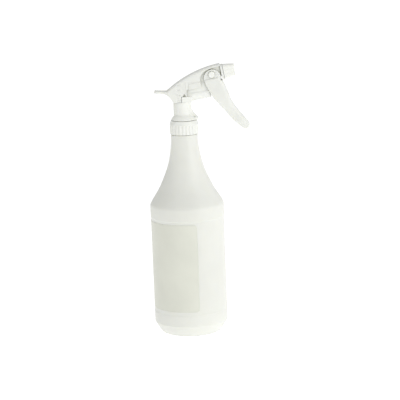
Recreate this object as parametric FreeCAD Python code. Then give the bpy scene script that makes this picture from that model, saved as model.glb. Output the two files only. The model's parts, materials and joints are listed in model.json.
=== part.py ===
import FreeCAD, Part
import math
import os

from FreeCAD import Vector

"""Trigger spray bottle: a round one-litre bottle with a screw-on trigger sprayer.

Millimetres, +Z up.  The origin is on the bottle's axis, on the plane it stands on.
The sprayer points along +X and is symmetrical about the XZ plane.
"""

# ---- bottle ----
body_radius = 43.45
body_wall = 1.1
panel_recess = 0.55
foot_band_recess = 0.25
panel_bottom = 27.0
panel_top = 137.5
panel_step = 1.6
heel_height = 13.4
heel_width = 8.0
heel_bulge = 0.5
ring_width = 3.0
pushup_height = 4.0
pushup_radius = 23.0
shoulder_start = 150.0
rim_height = 247.4
neck_height = 12.2
neck_radius = 12.6
neck_wall = 1.6
neck_root_round = 0.6
neck_root_inset = 0.9
bead_height = 1.0
bead_depth = 0.7
bead_gap = 0.4

# ---- label ----
label_height = 104.0
label_lift = 4.0
label_thickness = 0.25
label_half_angle = 106.0

# ---- thread, the same helix on the neck and in the closure ----
thread_pitch = 4.233
thread_turns = 1.25
thread_depth = 1.1
thread_root = 1.9
thread_crest = 1.0
thread_drop = 7.9
thread_sink = 0.15
thread_radial_gap = 0.35
thread_flank_gap = 0.35

# ---- closure ----
closure_wall = 2.65
closure_height = 15.8
closure_band_height = 11.1
closure_taper = 1.5
closure_roof = 1.6
closure_lip = 1.2
closure_edge = 0.6
groove_count = 24
groove_radius = 1.05
groove_depth = 0.8
seat_gap = 0.3

# ---- sprayer neck ----
gasket_thickness = 1.2
flange_gap = 0.85
flange_thickness = 1.1
dome_inset = 2.2
dome_edge = 0.9
dome_height = 5.3
dome_bulge = 0.6
sprayer_neck_radius = 9.5
sprayer_neck_rise = 25.5
core_radius = 6.6
core_rise = 52.6
spigot_radius = 7.0
spigot_length = 8.4
intake_bore_radius = 5.0
intake_bore_rise = 9.0
spine_depth = 2.0
spine_half_width = 1.9
spine_flare = 4.2
buttress_half_width = 5.2
buttress_reach = 17.0
buttress_height = 13.8
buttress_foot = 2.6
buttress_sag = 1.2
buttress_mark_x = 12.8
buttress_mark_rise = 4.0
buttress_mark_width = 2.2
buttress_mark_height = 1.6
buttress_mark_depth = 1.2
shoulder_block_height = 6.7
shoulder_block_front = 10.6
shoulder_block_rear = -1.3
shoulder_block_half_width = 8.7

# ---- dip tube and intake valve ----
tube_radius = 3.1
tube_wall = 0.9
tube_end_height = 9.5
tube_socket_depth = 9.7
retainer_flange_width = 1.6
retainer_flange = 1.4
intake_hole_radius = 1.3
intake_ball_radius = 2.0
ball_chamber_gap = 0.5
ball_chamber_height = 5.6
ball_gap = 0.06
intake_ball_lift = 1.2
stop_bar_radius = 0.6
stop_bar_gap = 0.15
passage_radius = 1.6
port_radius = 1.1

# ---- sprayer head: drawn about the trigger's pivot, X along the spray line ----
pivot_reach = 34.4
pivot_rise = 57.1
spray_tilt = 10.0
spray_line_z = -0.1
trunnion_radius = 3.8
trunnion_proud = 1.3
trunnion_round = 0.8
pin_gap = 0.08
discharge_radius = 4.2
discharge_socket_radius = 5.1
discharge_socket_length = 9.2
discharge_front_gap = 0.4
web_rear = -33.0
web_front = -6.4
web_half_width = 5.9
cheek_plate_front = 10.6
cheek_plate_inner = 4.0
cheek_plate_low = -4.0
cheek_plate_high = 14.0

# ---- pump ----
pump_drop = 19.55
barrel_radius = 6.6
barrel_rear_radius = 6.9
barrel_front = -5.9
barrel_rear = -34.0
barrel_edge = 0.9
barrel_wall = 1.1
bore_rear = -28.5
seal_gap = 0.06
guide_length = 2.4
guide_gap = 0.08
guide_inset = 0.1
cup_length = 5.5
cup_rest_gap = 0.5
cup_lip = 1.2
cup_waist = 0.7
cup_end = 0.8
cup_mouth = 0.6
cup_round = 0.3
rod_radius = 2.2
rod_core_radius = 3.2
link_radius = 2.4
link_half_width = 2.8
link_pin_radius = 1.6
link_pin_half_length = 5.0
link_rest_angle = 15.0
link_end_angle = -7.0
return_spring_radius = 4.1
return_spring_wire = 0.45
return_spring_turns = 6.0
spring_end_gap = 0.05
shaft_sink = 0.5

# ---- trigger ----
trigger_half_width = 8.8
trigger_tip_half_width = 6.4
trigger_wall = 1.7
trigger_front_wall = 2.3
trigger_crown_radius = 4.6
ear_arch_radius = 10.0
ear_arch_drop = 4.2
ear_inset = 0.8
ear_bottom = -5.1
ear_root = 2.0
cheek_inner = 3.1
cheek_outer = 4.9
cheek_front = 14.0
cheek_wall = 0.9
cheek_half_height = 4.7
link_slot_gap = 0.3
link_slot_spare = 0.05
tip_radius = 4.4
tip_x = 26.7
tip_z = -66.0
channel_bottom = -60.5
channel_depth = 12.0
crossbar_count = 3
crossbar_pitch = 7.5
crossbar_thickness = 1.4
crossbar_setback = 1.5
inner_skin = 0.4

# ---- shroud ----
shroud_side_gap = 0.2
shroud_wall = 1.5
shroud_roof = 1.7
shroud_edge = 2.6
roof_gap = 0.3
shroud_gap = 0.2
hollow_setback = 6.2
hollow_lift = 4.2
shroud_rear = -11.4
skirt_front = 5.0
skirt_notch_x = -1.6
skirt_gap_rear = 0.1
skirt_gap_top = 2.2
skirt_gap_front = 3.5
skirt_gap_rise = 3.5
skirt_edge_z = -5.5
skirt_low_z = -11.8
skirt_band = 0.7
skirt_band_front = -14.6
spur_tip_x = -33.3
spur_rise = 12.8
spur_tip_lift = 0.6
spur_thickness = 2.0
spur_half_width = 6.9
spur_root_x = -18.9
spur_bead_radius = 1.5
spur_bead_inset = 1.0
spur_tip_round = 2.5
spur_flare = 5.0
spur_cut_depth = 15.0
arch_middle_x = 9.4
arch_middle_rise = 31.7
roof_front_z = 9.9
roof_front_gap = 0.05
window_x = -4.9
window_width = 4.0
window_height = 2.2
window_depth = 0.7
window_pitch = 5.95
window_lift = 2.9
window_count = 4
edge_rib_width = 1.3
edge_rib_height = 0.5
edge_rib_length = 16.5

# ---- nozzle ----
plate_rear = 11.1
plate_thickness = 2.6
plate_top = 8.5
plate_bottom = -9.2
plate_corner = 3.0
nozzle_spigot_radius = 4.6
nozzle_spigot_length = 8.0
nozzle_bore_radius = 1.2
rear_spigot_length = 2.6
rear_spigot_radius = 3.5
spinner_radius = 2.9
spinner_length = 5.2
spinner_slots = 3
slot_width = 0.8
slot_depth = 0.7
swirl_width = 0.7
swirl_offset = 0.2
swirl_depth = 0.5
nozzle_gap = 0.3
nozzle_length = 13.2
nozzle_rear_half = 8.3
nozzle_front_half = 6.2
nozzle_corner = 0.32
nozzle_rim = 0.7
nozzle_wall = 4.3
nozzle_dish_radius = 3.6
nozzle_dish_root = 1.2
nozzle_dish_depth = 1.6
orifice_radius = 0.4
flutes_per_side = 2
flute_radius = 1.5
flute_spread = 4.2
flute_start = 1.6
flute_sink = 0.45
seal_thickness = 0.8
outlet_ball_radius = 1.6
outlet_seat_x = 2.0
outlet_seat_hole = 0.9
outlet_chamber_gap = 0.6
outlet_ball_gap = 0.06
outlet_spring_radius = 1.5
outlet_spring_wire = 0.26
outlet_spring_turns = 3.0
outlet_spring_seat = 0.8

# ---- places worked out from the sizes ----
panel_radius = body_radius - panel_recess
foot_radius = body_radius - foot_band_recess
shoulder_top = rim_height - neck_height
thread_start = rim_height - thread_drop
closure_bore_radius = neck_radius + thread_depth + thread_radial_gap
closure_radius = closure_bore_radius + closure_wall
closure_top_radius = closure_radius - closure_taper
neck_root_radius = closure_radius - neck_root_inset
flange_radius = closure_bore_radius - flange_gap
closure_hole_radius = flange_radius - closure_lip
dome_radius = closure_radius - dome_inset
flange_bottom = rim_height + gasket_thickness
flange_top = flange_bottom + flange_thickness
closure_top = flange_top + seat_gap + closure_roof
closure_bottom = closure_top - closure_height
dome_bottom = closure_top + seat_gap
dome_top = dome_bottom + dome_edge + dome_height
sprayer_neck_top = rim_height + sprayer_neck_rise
shoulder_block_top = sprayer_neck_top + shoulder_block_height
shroud_bottom = sprayer_neck_top + shroud_gap
core_top = rim_height + core_rise
pivot = Vector(pivot_reach, 0.0, rim_height + pivot_rise)
spur_top = shroud_bottom + spur_rise
arch_middle = Vector(arch_middle_x, 0.0, shroud_bottom + arch_middle_rise)
spigot_bottom = flange_bottom - spigot_length
ball_seat = rim_height + intake_bore_rise
tube_socket_top = spigot_bottom + tube_socket_depth
ball_centre = ball_seat + math.sqrt(intake_ball_radius ** 2 - intake_hole_radius ** 2) + ball_gap
ball_chamber_radius = intake_ball_radius + ball_chamber_gap
ball_top = ball_centre + intake_ball_radius
stop_bar_height = ball_top + intake_ball_lift + stop_bar_radius + stop_bar_gap
bore_radius = barrel_radius - barrel_wall
link_rest_x = pump_drop * math.tan(math.radians(link_rest_angle))
link_reach = math.hypot(pump_drop, link_rest_x)
guide_rear = barrel_front - guide_length
cup_front = guide_rear - cup_rest_gap
cup_rear = cup_front - cup_length
trunnion_end = trigger_half_width + trunnion_proud
shroud_half_width = trigger_half_width + shroud_side_gap
plate_half_width = shroud_half_width
plate_front = plate_rear + plate_thickness
discharge_front = plate_rear - discharge_front_gap
rear_spigot_end = plate_rear - rear_spigot_length
nozzle_spigot_front = plate_front + nozzle_spigot_length
nozzle_rear = plate_front + nozzle_gap
nozzle_front = nozzle_rear + nozzle_length
nozzle_inner_front = nozzle_front - nozzle_wall
outlet_chamber_radius = outlet_ball_radius + outlet_chamber_gap
outlet_ball_x = outlet_seat_x - outlet_seat_hole + outlet_ball_radius * math.sqrt(2.0) + outlet_ball_gap
outlet_spring_rear = outlet_ball_x + outlet_ball_radius * outlet_spring_seat


def at(x, z):
    return Vector(x, 0.0, z)


def line(a, b):
    return Part.makeLine(a, b)


def arc(a, middle, b):
    return Part.Arc(a, middle, b).toShape()


def spline(points):
    """A smooth curve through points."""
    curve = Part.BSplineCurve()
    curve.interpolate(points)
    return curve.toShape()


def polygon(points):
    return Part.makePolygon(points + [points[0]]).Edges


def spin(edges):
    """Turn a closed outline in the XZ plane about the Z axis."""
    face = Part.Face(Part.Wire(edges))
    return face.revolve(Vector(0, 0, 0), Vector(0, 0, 1), 360)


def slab(edges, half_width):
    """Give a closed outline in the XZ plane an even thickness about that plane."""
    solid = Part.Face(Part.Wire(edges)).extrude(Vector(0, 2 * half_width, 0))
    solid.translate(Vector(0, -half_width, 0))
    return solid


def block(x0, x1, half_width, z0, z1):
    return Part.makeBox(x1 - x0, 2 * half_width, z1 - z0, Vector(x0, -half_width, z0))


def upright(radius, z0, z1, x=0.0, y=0.0):
    return Part.makeCylinder(radius, z1 - z0, Vector(x, y, z0), Vector(0, 0, 1))


def along(radius, x0, x1, z=0.0):
    """A cylinder along the head's X axis."""
    return Part.makeCylinder(radius, x1 - x0, Vector(x0, 0, z), Vector(1, 0, 0))


def across(radius, half_length, x, z):
    return Part.makeCylinder(radius, 2 * half_length, Vector(x, -half_length, z), Vector(0, 1, 0))


def in_head(shape):
    """Put a shape drawn about the pivot in its place on the bottle."""
    placed = shape.copy()
    placed.rotate(Vector(0, 0, 0), Vector(0, 1, 0), -spray_tilt)
    placed.translate(pivot)
    return placed


def ridge(root_radius, crest_radius, start):
    """A screw thread of trapezoidal section, its middle at height start on the XZ plane."""
    height = thread_pitch * thread_turns
    helix = Part.makeHelix(thread_pitch, height, root_radius)
    sink = thread_sink if crest_radius > root_radius else -thread_sink
    section = [
        at(root_radius - sink, -thread_root / 2),
        at(crest_radius, -thread_crest / 2),
        at(crest_radius, thread_crest / 2),
        at(root_radius - sink, thread_root / 2),
    ]
    profile = Part.Wire(polygon(section))
    thread = Part.Wire(helix.Edges).makePipeShell([profile], True, True)
    thread.translate(Vector(0, 0, start))
    return thread


def coil(radius, wire, turns, length):
    """A round-wire coil spring standing on Z = 0, its ends at the wire's middle."""
    height = length - 2 * wire
    helix = Part.makeHelix(height / turns, height, radius)
    ring = Part.Wire([Part.Circle(Vector(radius, 0, 0), Vector(0, 1, 0), wire).toShape()])
    spring = Part.Wire(helix.Edges).makePipeShell([ring], True, True)
    spring.translate(Vector(0, 0, wire))
    return spring


def lying(spring, x0, z):
    """Turn a spring that stands on Z = 0 so that it runs along the head's X axis."""
    spring.rotate(Vector(0, 0, 0), Vector(0, 1, 0), 90)
    spring.translate(Vector(x0, 0, z))
    return spring


# ---------------------------------------------------------------- bottle

def shoulder_sweep(inset):
    """The shoulder's sweep from the body to the neck, drawn in by the wall."""
    rise = shoulder_top - shoulder_start
    shares = [
        (0.00, 1.000), (0.045, 0.981), (0.114, 0.861), (0.23, 0.633), (0.354, 0.447),
        (0.476, 0.284), (0.60, 0.157), (0.74, 0.066), (0.875, 0.016), (1.00, 0.000),
    ]
    spread = body_radius - neck_root_radius
    return [
        at(neck_root_radius + spread * out - inset, shoulder_start + rise * up)
        for up, out in shares
    ]


def bottle_form(inset):
    """The bottle's closed outline, drawn in by inset all round, up to its open rim."""
    outer = body_radius - inset
    foot = foot_radius - inset
    panel = panel_radius - inset
    ring_outer = foot_radius - heel_width
    ring_inner = ring_outer - ring_width
    neck = neck_radius - (neck_wall if inset else 0.0)
    sweep = shoulder_sweep(inset)
    heel_mid = at((ring_outer + foot + heel_bulge) / 2, (heel_height + inset - heel_bulge) / 2)
    corners = [
        at(0, pushup_height + inset),
        at(pushup_radius, pushup_height + inset),
        at(ring_inner, inset),
        at(ring_outer, inset),
    ]
    edges = [line(a, b) for a, b in zip(corners, corners[1:])]
    edges.append(arc(corners[-1], heel_mid, at(foot, heel_height)))
    wall = [
        at(foot, heel_height),
        at(foot, panel_bottom - panel_step),
        at(panel, panel_bottom),
        at(panel, panel_top),
        at(outer, panel_top + panel_step),
        sweep[0],
    ]
    edges += [line(a, b) for a, b in zip(wall, wall[1:])]
    edges.append(spline(sweep))
    top = [
        sweep[-1],
        at(neck, shoulder_top + (0.0 if inset else neck_root_round)),
        at(neck, rim_height),
        at(0, rim_height),
        corners[0],
    ]
    edges += [line(a, b) for a, b in zip(top, top[1:])]
    return spin(edges)


def bottle():
    shell = bottle_form(0.0).cut(bottle_form(body_wall))
    thread = ridge(neck_radius, neck_radius + thread_depth, thread_start)
    bead_bottom = closure_bottom + bead_gap
    bead = spin(polygon([
        at(neck_radius - thread_sink, bead_bottom),
        at(neck_radius + bead_depth, bead_bottom + bead_height / 3),
        at(neck_radius + bead_depth, bead_bottom + bead_height * 2 / 3),
        at(neck_radius - thread_sink, bead_bottom + bead_height),
    ]))
    return shell.fuse([thread, bead])


def label():
    bottom = panel_bottom + label_lift
    sheet = upright(panel_radius + label_thickness, bottom, bottom + label_height)
    sheet = sheet.cut(upright(panel_radius, bottom - 1, bottom + label_height + 1))
    reach = 2 * body_radius
    far = math.radians(180 - label_half_angle)
    wedge = Part.makePolygon([
        Vector(0, 0, 0),
        Vector(reach * math.cos(far), reach * math.sin(far), 0),
        Vector(reach, reach, 0),
        Vector(reach, -reach, 0),
        Vector(reach * math.cos(far), -reach * math.sin(far), 0),
        Vector(0, 0, 0),
    ])
    gap = Part.Face(wedge).extrude(Vector(0, 0, rim_height))
    return sheet.cut(gap)


# ---------------------------------------------------------------- closure and neck seal

def closure():
    outline = [
        at(closure_bore_radius, closure_bottom),
        at(closure_radius - closure_edge / 2, closure_bottom),
        at(closure_radius, closure_bottom + closure_edge / 2),
        at(closure_radius, closure_bottom + closure_band_height),
        at(closure_top_radius, closure_top - closure_edge),
        at(closure_top_radius - closure_edge, closure_top),
        at(closure_hole_radius, closure_top),
        at(closure_hole_radius, closure_top - closure_roof),
        at(closure_bore_radius, closure_top - closure_roof),
    ]
    shell = spin(polygon(outline))
    grooves = []
    groove_top = closure_bottom + closure_band_height - groove_radius
    groove_reach = closure_radius - groove_depth + groove_radius
    for step in range(groove_count):
        angle = 2 * math.pi * (step + 0.5) / groove_count
        x = groove_reach * math.cos(angle)
        y = groove_reach * math.sin(angle)
        grooves.append(upright(groove_radius, closure_bottom - 1, groove_top, x, y))
        grooves.append(Part.makeSphere(groove_radius, Vector(x, y, groove_top)))
    shell = shell.cut(grooves)
    flank_width = (thread_root + thread_crest) / 2
    start = thread_start - flank_width - thread_flank_gap
    thread = ridge(closure_bore_radius, closure_bore_radius - thread_depth, start)
    return shell.fuse(thread)


def neck_gasket():
    ring = upright(neck_radius, rim_height, flange_bottom)
    return ring.cut(upright(spigot_radius, rim_height - 1, flange_bottom + 1))


# ---------------------------------------------------------------- sprayer body

def neck_and_flange():
    hole = closure_hole_radius - seat_gap
    dome_foot = dome_bottom + dome_edge
    corners = [
        at(0, spigot_bottom),
        at(spigot_radius, spigot_bottom),
        at(spigot_radius, flange_bottom),
        at(flange_radius, flange_bottom),
        at(flange_radius, flange_top),
        at(hole, flange_top),
        at(hole, dome_bottom),
        at(dome_radius, dome_bottom),
        at(dome_radius, dome_foot),
    ]
    rest = [
        at(sprayer_neck_radius, dome_top),
        at(sprayer_neck_radius, sprayer_neck_top),
        at(core_radius, sprayer_neck_top),
        at(core_radius, core_top),
        at(0, core_top),
        corners[0],
    ]
    middle = at((dome_radius + sprayer_neck_radius + dome_bulge) / 2, (dome_foot + dome_top + dome_bulge) / 2)
    edges = [line(a, b) for a, b in zip(corners, corners[1:])]
    edges.append(arc(corners[-1], middle, rest[0]))
    edges += [line(a, b) for a, b in zip(rest, rest[1:])]
    return spin(edges)


def buttress():
    """The stay that spreads the sprayer's neck forward onto the closure."""
    foot = dome_bottom + buttress_foot
    top = dome_bottom + buttress_height
    inner = sprayer_neck_radius - 0.5
    side = slab([
        line(at(0, dome_bottom), at(buttress_reach, dome_bottom)),
        line(at(buttress_reach, dome_bottom), at(buttress_reach, foot)),
        arc(
            at(buttress_reach, foot),
            at((buttress_reach + inner - buttress_sag) / 2, (foot + top) / 2 - buttress_sag),
            at(inner, top),
        ),
        line(at(inner, top), at(0, top)),
        line(at(0, top), at(0, dome_bottom)),
    ], buttress_half_width)
    rounded = side.common(upright(buttress_reach, dome_bottom, top))
    mark_low = dome_bottom + buttress_mark_rise - buttress_mark_height / 2
    mark = block(buttress_mark_x - buttress_mark_width / 2, buttress_mark_x + buttress_mark_width / 2,
                 buttress_half_width + 1, mark_low, mark_low + buttress_mark_height)
    middle = buttress_half_width - buttress_mark_depth
    mark = mark.cut(block(0, 2 * buttress_reach, middle, dome_bottom, top))
    return rounded.cut(mark)


def sprayer_body():
    spine_rear = -(sprayer_neck_radius + spine_depth)
    spine_foot = dome_bottom + dome_edge
    spine_side = polygon([
        at(0, spine_foot),
        at(-dome_radius, spine_foot),
        at(spine_rear, spine_foot + spine_flare),
        at(spine_rear, sprayer_neck_top),
        at(0, sprayer_neck_top),
    ])
    barrel = Part.makeCone(
        barrel_rear_radius, barrel_radius, barrel_front - barrel_rear,
        Vector(barrel_rear, 0, -pump_drop), Vector(1, 0, 0))
    front_edges = [e for e in barrel.Edges if e.BoundBox.XMin > barrel_front - 0.01]
    barrel = barrel.makeFillet(barrel_edge, front_edges)
    discharge = along(discharge_radius, -pivot.x, discharge_front, spray_line_z)
    socket_rear = discharge_front - discharge_socket_length
    socket = along(discharge_socket_radius, socket_rear, discharge_front, spray_line_z)
    trunnion = across(trunnion_radius, trunnion_end, 0, 0)
    trunnion = trunnion.makeFillet(trunnion_round, [trunnion.Edges[0], trunnion.Edges[2]])
    web = block(web_rear, web_front, web_half_width, -pump_drop, spray_line_z)
    plates = block(web_rear, cheek_plate_front, web_half_width, cheek_plate_low, cheek_plate_high)
    between = block(web_rear - 1, cheek_plate_front + 1, cheek_plate_inner,
                    spray_line_z, cheek_plate_high + 1)
    plates = plates.cut([between, discharge])
    head = barrel.fuse([discharge, socket, trunnion, web, plates])
    shoulder = block(shoulder_block_rear, shoulder_block_front, shoulder_block_half_width,
                     sprayer_neck_top, shoulder_block_top)
    solid = neck_and_flange().fuse([
        buttress(), slab(spine_side, spine_half_width), shoulder, in_head(head)])
    bore = along(bore_radius, bore_rear, barrel_front + 1, -pump_drop)
    port = along(port_radius, -pivot.x - core_radius / 2, bore_rear + 0.5, -pump_drop)
    outlet = along(outlet_seat_hole, -pivot.x - 0.5, outlet_seat_x, spray_line_z)
    seat_front = outlet_seat_x + outlet_chamber_radius - outlet_seat_hole
    seat = Part.makeCone(
        outlet_seat_hole, outlet_chamber_radius, seat_front - outlet_seat_x,
        Vector(outlet_seat_x, 0, spray_line_z), Vector(1, 0, 0))
    chamber = along(outlet_chamber_radius, seat_front, rear_spigot_end, spray_line_z)
    mouth = along(rear_spigot_radius, rear_spigot_end, discharge_front + 1, spray_line_z)
    chamber_top = ball_seat + ball_chamber_height
    line_height = to_global_height(spray_line_z)
    hollows = [
        in_head(bore), in_head(port), in_head(outlet), in_head(seat), in_head(chamber), in_head(mouth),
        upright(intake_bore_radius, spigot_bottom - 1, ball_seat),
        upright(ball_chamber_radius, ball_seat - 0.1, chamber_top),
        upright(passage_radius, chamber_top - 0.1, line_height),
    ]
    stop_bar = across(stop_bar_radius, ball_chamber_radius + shaft_sink, 0, stop_bar_height)
    return solid.cut(hollows + [above_roof_lining()]).fuse(stop_bar)


def to_global_height(z_head):
    """Height where a line along the head's X axis at z_head crosses the bottle's axis."""
    c = math.cos(math.radians(spray_tilt))
    t = math.tan(math.radians(spray_tilt))
    return pivot.z - pivot.x * t + z_head / c


# ---------------------------------------------------------------- intake

def tube_retainer():
    """Press-in plug that holds the dip tube below and carries the ball's seat above."""
    flange_low = spigot_bottom - retainer_flange
    plug = upright(intake_bore_radius, spigot_bottom, ball_seat)
    plug = plug.fuse(upright(intake_bore_radius + retainer_flange_width, flange_low, spigot_bottom))
    plug = plug.cut(upright(tube_radius, flange_low - 1, tube_socket_top))
    plug = plug.cut(upright(tube_radius - tube_wall, tube_socket_top - 0.1, tube_socket_top + 2))
    return plug.cut(upright(intake_hole_radius, tube_socket_top, ball_seat + 1))


def dip_tube():
    tube = upright(tube_radius, tube_end_height, tube_socket_top)
    tube = tube.cut(upright(tube_radius - tube_wall, tube_end_height - 1, tube_socket_top + 1))
    cut_corner = slab(polygon([
        at(-tube_radius - 1, tube_end_height - 1),
        at(tube_radius + 1, tube_end_height - 1),
        at(tube_radius + 1, tube_end_height),
        at(-tube_radius - 1, tube_end_height + tube_radius * 1.4),
    ]), tube_radius + 1)
    return tube.cut(cut_corner)


def intake_ball():
    return Part.makeSphere(intake_ball_radius, Vector(0, 0, ball_centre))


# ---------------------------------------------------------------- pump

def rod_guide():
    return along(bore_radius, guide_rear, barrel_front - guide_inset, -pump_drop).cut(
        along(rod_radius + guide_gap, guide_rear - 1, barrel_front + 1, -pump_drop))


def piston_rod():
    shaft = along(rod_radius, cup_front - shaft_sink, link_rest_x, -pump_drop)
    core = along(rod_core_radius, cup_rear + cup_end, cup_front - cup_end / 4, -pump_drop)
    eye = across(link_radius, link_half_width, link_rest_x, -pump_drop)
    pin = across(link_pin_radius, link_pin_half_length, link_rest_x, -pump_drop)
    return shaft.fuse([core, eye, pin])


def piston_cup():
    """The piston's seal: a lip at each end and a waist between them, pressed on the rod's core."""
    radius = bore_radius - seal_gap
    waist = radius - cup_waist
    mouth = rod_core_radius + cup_mouth
    round_off = cup_round
    outline = [
        at(0, cup_rear),
        at(mouth, cup_rear),
        at(mouth, cup_rear + cup_end),
        at(radius - round_off, cup_rear),
        at(radius, cup_rear + round_off),
        at(radius, cup_rear + cup_lip),
        at(waist, cup_rear + cup_lip + cup_waist),
        at(waist, cup_front - cup_lip - cup_waist),
        at(radius, cup_front - cup_lip),
        at(radius, cup_front - round_off),
        at(radius - round_off, cup_front),
        at(0, cup_front),
    ]
    turned = spin(polygon(outline))
    turned.rotate(Vector(0, 0, 0), Vector(0, 1, 0), 90)
    turned.translate(Vector(0, 0, -pump_drop))
    core = along(rod_core_radius, cup_rear + cup_end, cup_front - cup_end / 4, -pump_drop)
    return turned.cut([core, along(rod_radius, cup_front - shaft_sink, cup_front + 1, -pump_drop)])


def return_spring():
    length = cup_rear - bore_rear - 2 * spring_end_gap
    spring = coil(return_spring_radius, return_spring_wire, return_spring_turns, length)
    return lying(spring, bore_rear + spring_end_gap, -pump_drop)


# ---------------------------------------------------------------- trigger

rear_line = [
    (ear_bottom, -9.9), (-9.0, -9.2), (-14.0, -7.9), (-22.0, -5.4), (-30.0, -1.8),
    (-38.0, 2.8), (-46.0, 7.3), (-54.0, 11.9), (-61.0, 16.6), (tip_z - 2.6, tip_x - 3.6),
]
front_line = [
    (ear_bottom, 10.0), (-8.0, 10.4), (-11.5, 11.3), (-18.5, 13.1), (-26.5, 14.7), (-33.5, 15.9),
    (-41.5, 18.7), (-49.5, 22.6), (-56.5, 26.8), (tip_z + 3.0, tip_x + 3.4),
]
section_heights = [-2.0, -12.0, -22.0, -32.0, -42.0, -52.0, -62.0, -74.0]


def along_line(points, z):
    """The place across of a trigger edge at a height, carried on straight past its ends."""
    ordered = sorted(points)
    for (z0, x0), (z1, x1) in zip(ordered, ordered[1:]):
        if z <= z1 or (z1, x1) == ordered[-1]:
            return x0 + (x1 - x0) * (z - z0) / (z1 - z0)


def trigger_half(z):
    start = section_heights[3]
    if z >= start:
        return trigger_half_width
    share = (start - z) / (start - tip_z)
    return trigger_half_width + (trigger_tip_half_width - trigger_half_width) * share


def crowned_section(z, rear, front, half, corner):
    """A section across the trigger: flat sides, open rear end and a rounded front."""
    inner = corner * (1 - math.cos(math.radians(45)))
    def p(x, y):
        return Vector(x, y, z)
    return Part.Wire([
        line(p(rear, half), p(rear, -half)),
        line(p(rear, -half), p(front - corner, -half)),
        arc(p(front - corner, -half), p(front - inner, -half + inner), p(front, -half + corner)),
        line(p(front, -half + corner), p(front, half - corner)),
        arc(p(front, half - corner), p(front - inner, half - inner), p(front - corner, half)),
        line(p(front - corner, half), p(rear, half)),
    ])


def trigger_form(wall, front_wall, heights):
    """The trigger's crowned channel, drawn in by its walls and open to the rear."""
    sections = []
    for z in heights:
        front = along_line(front_line, z) - front_wall
        rear = along_line(rear_line, z) - channel_depth
        corner = trigger_crown_radius - wall
        sections.append(crowned_section(z, rear, front, trigger_half(z) - wall, corner))
    return Part.makeLoft(sections, True, False)


def trigger_side():
    """The trigger's outline seen from the side, with its rounded tip."""
    rear = [at(x, z) for z, x in rear_line]
    front = [at(x, z) for z, x in front_line]
    tip = at(tip_x + tip_radius * 0.25, tip_z - tip_radius * 0.95)
    return slab([
        spline(rear),
        arc(rear[-1], tip, front[-1]),
        spline(front[::-1]),
        line(front[0], rear[0]),
    ], trigger_half_width + 1)


def ear_plate():
    """Both ears, which carry the trigger on the body's trunnions."""
    centre = -ear_arch_drop
    low = ear_bottom - ear_root
    front = along_line(front_line, low) - ear_inset
    rear = along_line(rear_line, low) + ear_inset
    edges = [
        arc(at(-ear_arch_radius, centre), at(0, centre + ear_arch_radius), at(ear_arch_radius, centre)),
        line(at(ear_arch_radius, centre), at(front, low)),
        line(at(front, low), at(rear, low)),
        line(at(rear, low), at(-ear_arch_radius, centre)),
    ]
    return slab(edges, trigger_half_width - ear_inset)


def link_slots():
    """Slots for the piston's link pin, as long as its reach changes over the stroke."""
    radius = link_pin_radius + link_slot_gap
    shortest = pump_drop - link_slot_spare
    unit = at(link_rest_x / link_reach, -pump_drop / link_reach)
    near = unit * shortest
    far = unit * link_reach
    side = at(-unit.z * radius, unit.x * radius)
    middle = polygon([near + side, far + side, far - side, near - side])
    half = link_pin_half_length + 1.0
    return slab(middle, half).fuse([
        across(radius, half, near.x, near.z), across(radius, half, far.x, far.z)])


def trigger():
    solid = trigger_form(0.0, 0.0, section_heights).common(trigger_side())
    solid = solid.fuse(ear_plate())
    hollow = trigger_form(trigger_wall, trigger_front_wall, section_heights[:-1])
    ear_inner = trigger_half_width - trigger_wall - ear_inset
    between_ears = block(-2 * ear_arch_radius, 2 * ear_arch_radius, ear_inner,
                         ear_bottom - ear_arch_drop, ear_arch_radius)
    floor = block(-20, 60, 20, -90, channel_bottom)
    solid = solid.cut([hollow.cut(floor), between_ears])
    cheek_rear = link_rest_x - link_pin_radius - link_slot_gap - cheek_wall
    low = -pump_drop - cheek_half_height
    high = -pump_drop + cheek_half_height
    cheeks = block(cheek_rear, cheek_front, cheek_outer, low, high)
    cheeks = cheeks.cut(block(cheek_rear - 1, cheek_front + 1, cheek_inner, low - 1, high + 1))
    pulled = block(barrel_rear, barrel_front + link_slot_gap, cheek_outer + 1, -2 * pump_drop, 0)
    pulled.rotate(Vector(0, 0, 0), Vector(0, 1, 0), link_end_angle - link_rest_angle)
    cheeks = cheeks.cut(pulled)
    envelope = trigger_form(inner_skin, inner_skin, section_heights)
    bars = []
    for step in range(crossbar_count):
        z = channel_bottom + crossbar_pitch * (step + 1)
        rear = along_line(rear_line, z) + crossbar_setback
        bar = block(rear, rear + 20, trigger_half(z), z, z + crossbar_thickness)
        bars.append(bar.common(envelope))
    solid = solid.fuse([cheeks.common(envelope)] + bars)
    bore = across(trunnion_radius + pin_gap, trigger_half_width + 1, 0, 0)
    return solid.cut([link_slots(), bore])


# ---------------------------------------------------------------- shroud

def arch_arc(inset):
    """The roof's arc, drawn in towards the inside by inset."""
    rear = at(spur_root_x, spur_top)
    arch_front = in_point(plate_rear - roof_front_gap, roof_front_z)
    centre = Part.Circle(rear, arch_middle, arch_front).Center
    ends = []
    for point in (rear, arch_middle, arch_front):
        out = point - centre
        out.normalize()
        ends.append(point - out * inset)
    return ends


def spur_underside():
    """The sweep from the shroud's rear foot to the spur's tip."""
    low = spur_top - spur_thickness
    return spline([
        at(shroud_rear, shroud_bottom),
        at(shroud_rear - 1.1, shroud_bottom + 2.6),
        at(shroud_rear - 3.3, shroud_bottom + 5.6),
        at(shroud_rear - 6.1, shroud_bottom + 8.1),
        at(shroud_rear - 10.0, shroud_bottom + 10.2),
        at(shroud_rear - 14.6, low),
        at(spur_tip_x + spur_bead_radius, low + spur_tip_lift),
    ])


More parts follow.
